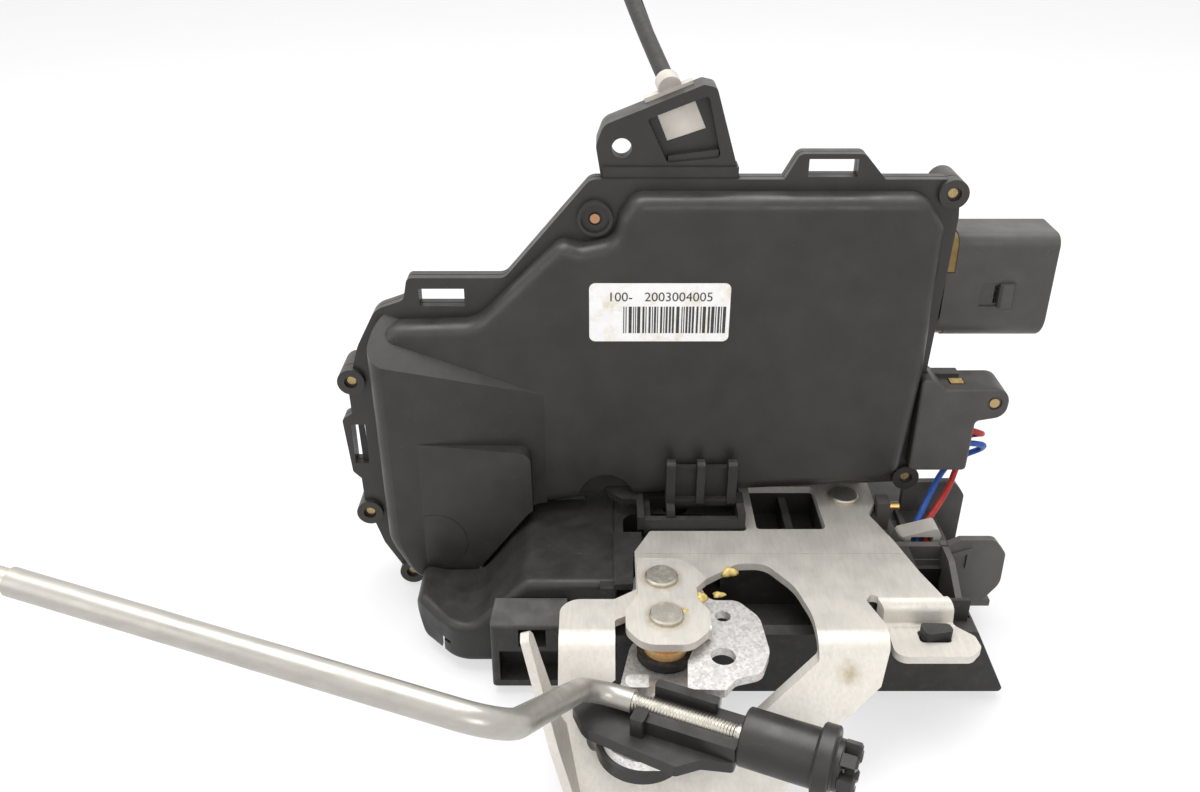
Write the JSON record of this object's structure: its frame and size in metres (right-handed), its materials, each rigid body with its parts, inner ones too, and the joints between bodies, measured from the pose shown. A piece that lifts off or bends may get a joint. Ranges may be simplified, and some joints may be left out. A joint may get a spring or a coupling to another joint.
{
  "type": "car door latch actuator",
  "caption": "Car door latch with a flat plastic actuator box, steel lock plate and levers, bent handle rod in a clip, side connector, and a sheathed release cable.",
  "frame": {"origin": "midway between the two threaded mounting holes, on the lock face", "axes": "+X down the door, +Y towards the inside of the car, +Z forward, away from the lock face; the part lies on its lock face"},
  "size_m": [0.2224, 0.2991, 0.1611],
  "materials": {
    "box_plastic": "matte moulded",
    "latch_plastic": "matte moulded",
    "side_plastic": "matte moulded, dusty",
    "seal_foam": "matte",
    "seal_amber": "matte",
    "screw_copper": "dull",
    "label_white": "printed label",
    "plug_plastic": "matte moulded",
    "pin_tin": "tinned",
    "fitting_nylon": "matte",
    "cable_black": "extruded",
    "wire_steel": "drawn",
    "plate_steel": "pressed, greased",
    "lock_steel": "pressed, zinc plated",
    "rivet_steel": "peened",
    "lever_zinc": "zinc plated, speckled",
    "claw_steel": "hardened",
    "spring_steel": "drawn wire",
    "bush_bronze": "bronze",
    "washer_black": "matte",
    "rod_steel": "zinc plated",
    "sleeve_grey": "satin",
    "clip_plastic": "matte",
    "bridge_plastic": "matte",
    "guard_plastic": "matte",
    "clip_grey": "matte",
    "terminal_brass": "stamped",
    "wire_red": "insulation",
    "wire_blue": "insulation",
    "motor_can": "drawn can",
    "gear_nylon": "moulded",
    "inner_lever_plastic": "moulded",
    "board_plastic": "moulded",
    "switch_black": "moulded"
  },
  "bodies": {
    "latch": {"front_cover": "box_plastic", "rear_housing": "box_plastic", "cover_seal": "seal_foam", "cover_screws": "screw_copper", "cover_label": "label_white", "connector_shell": "plug_plastic", "connector_seal": "seal_amber", "connector_pins": "pin_tin", "cable_bracket": "box_plastic", "cable_end_fitting": "fitting_nylon", "cable_sheath": "cable_black", "cable_far_end": "wire_steel", "lock_plate": "lock_steel", "latch_housing": "latch_plastic", "side_cover": "side_plastic", "inner_plate": "plate_steel", "pivot_plate": "plate_steel", "pivot_rivets": "rivet_steel", "pivot_bush": "bush_bronze", "lever_washer": "washer_black", "comb_bridge": "bridge_plastic", "switch_plug": "plug_plastic", "switch_terminal": "terminal_brass", "plug_screw": "screw_copper", "wire_guard": "guard_plastic", "wire_clip": "clip_grey", "guard_pin": "terminal_brass", "lock_motor": "motor_can", "motor_cradle": "board_plastic", "gear_axle": "pin_tin", "locking_pin": "pin_tin", "inside_lever_pin": "pin_tin", "lead_frame": "board_plastic", "microswitches": "switch_black", "red_wire": "wire_red", "blue_wire": "wire_blue", "claw_spring": "spring_steel", "pawl_spring": "spring_steel"},
    "claw": {"claw": "claw_steel"},
    "pawl": {"pawl": "claw_steel"},
    "release_lever": {"release_lever": "lever_zinc"},
    "outer_lever": {"outer_lever": "lever_zinc"},
    "handle_rod": {"rod_clip": "clip_plastic", "retaining_disc": "clip_plastic", "threaded_rod": "rod_steel", "rod_sleeve": "sleeve_grey"},
    "rod_adjuster": {"adjuster_sleeve": "clip_plastic"},
    "worm": {"motor_worm": "terminal_brass", "motor_shaft": "pin_tin"},
    "gear": {"drive_gear": "gear_nylon"},
    "locking_lever": {"locking_lever": "inner_lever_plastic"},
    "inside_lever": {"inside_release_lever": "inner_lever_plastic"},
    "cable_wire": {"cable_inner_wire": "wire_steel"},
    "plunger_1": {"switch_plunger_1": "gear_nylon"},
    "plunger_2": {"switch_plunger_2": "gear_nylon"}
  },
  "joints": [
    {"name": "claw_turn", "type": "hinge", "parent": "latch", "child": "claw", "pos_m": [0.0235, 0.029, 0.0115], "axis": [0, 0, 1], "range_deg": [0, 65], "stiffness_Nm_per_rad": 0.05},
    {"name": "pawl_turn", "type": "hinge", "parent": "latch", "child": "pawl", "pos_m": [-0.022, 0.027, 0.0115], "axis": [0, 0, 1], "range_deg": [-8, 0], "stiffness_Nm_per_rad": 0.05},
    {"name": "outer_lever_turn", "type": "hinge", "parent": "latch", "child": "outer_lever", "pos_m": [-0.0269, -0.0224, 0.0188], "axis": [0, 0, 1], "range_deg": [0, 15], "stiffness_Nm_per_rad": 0.08},
    {"name": "release_lever_turn", "type": "hinge", "parent": "latch", "child": "release_lever", "pos_m": [-0.0274, -0.0085, 0.026], "axis": [0, 0, 1], "range_deg": [0, 10]},
    {"name": "rod_swivel", "type": "hinge", "parent": "outer_lever", "child": "handle_rod", "pos_m": [-0.033, -0.045, 0.019], "axis": [0, 0, 1], "range_deg": [-5, 5]},
    {"name": "adjuster_twist", "type": "hinge", "parent": "handle_rod", "child": "rod_adjuster", "pos_m": [-0.00269, -0.05754, 0.026], "axis": [0.9173, -0.3981, 0], "range_deg": [0, 90]},
    {"name": "worm_turn", "type": "hinge", "parent": "latch", "child": "worm", "pos_m": [-0.0805, 0.034, 0.06], "axis": [0, 0, 1], "range_deg": [-1080, 1080]},
    {"name": "gear_turn", "type": "hinge", "parent": "latch", "child": "gear", "pos_m": [-0.063, 0.034, 0.062], "axis": [0, 1, 0], "range_deg": [-30, 30]},
    {"name": "locking_lever_turn", "type": "hinge", "parent": "latch", "child": "locking_lever", "pos_m": [-0.03, 0.045, 0.066], "axis": [0, 1, 0], "range_deg": [-8.73, 8.73]},
    {"name": "inside_lever_turn", "type": "hinge", "parent": "latch", "child": "inside_lever", "pos_m": [-0.006, 0.04, 0.092], "axis": [0, 1, 0], "range_deg": [0, 15], "stiffness_Nm_per_rad": 0.03},
    {"name": "cable_pull", "type": "slide", "parent": "latch", "child": "cable_wire", "axis": [0, 0, 1], "range_m": [0, 0.00535], "stiffness_N_per_m": 0.5, "springref_m": 0.02},
    {"name": "plunger_press_1", "type": "slide", "parent": "latch", "child": "plunger_1", "axis": [0, 0, -1], "range_m": [0, 0.0012], "stiffness_N_per_m": 300},
    {"name": "plunger_press_2", "type": "slide", "parent": "latch", "child": "plunger_2", "axis": [0, 0, -1], "range_m": [0, 0.0012], "stiffness_N_per_m": 300}
  ],
  "couplings": [
    {"joint": "release_lever_turn", "follows": "outer_lever_turn", "ratio": 0.66667},
    {"joint": "gear_turn", "follows": "worm_turn", "ratio": 0.027778},
    {"joint": "locking_lever_turn", "follows": "worm_turn", "ratio": -0.008083},
    {"joint": "cable_pull", "follows": "inside_lever_turn", "m_per_rad": 0.020435}
  ]
}
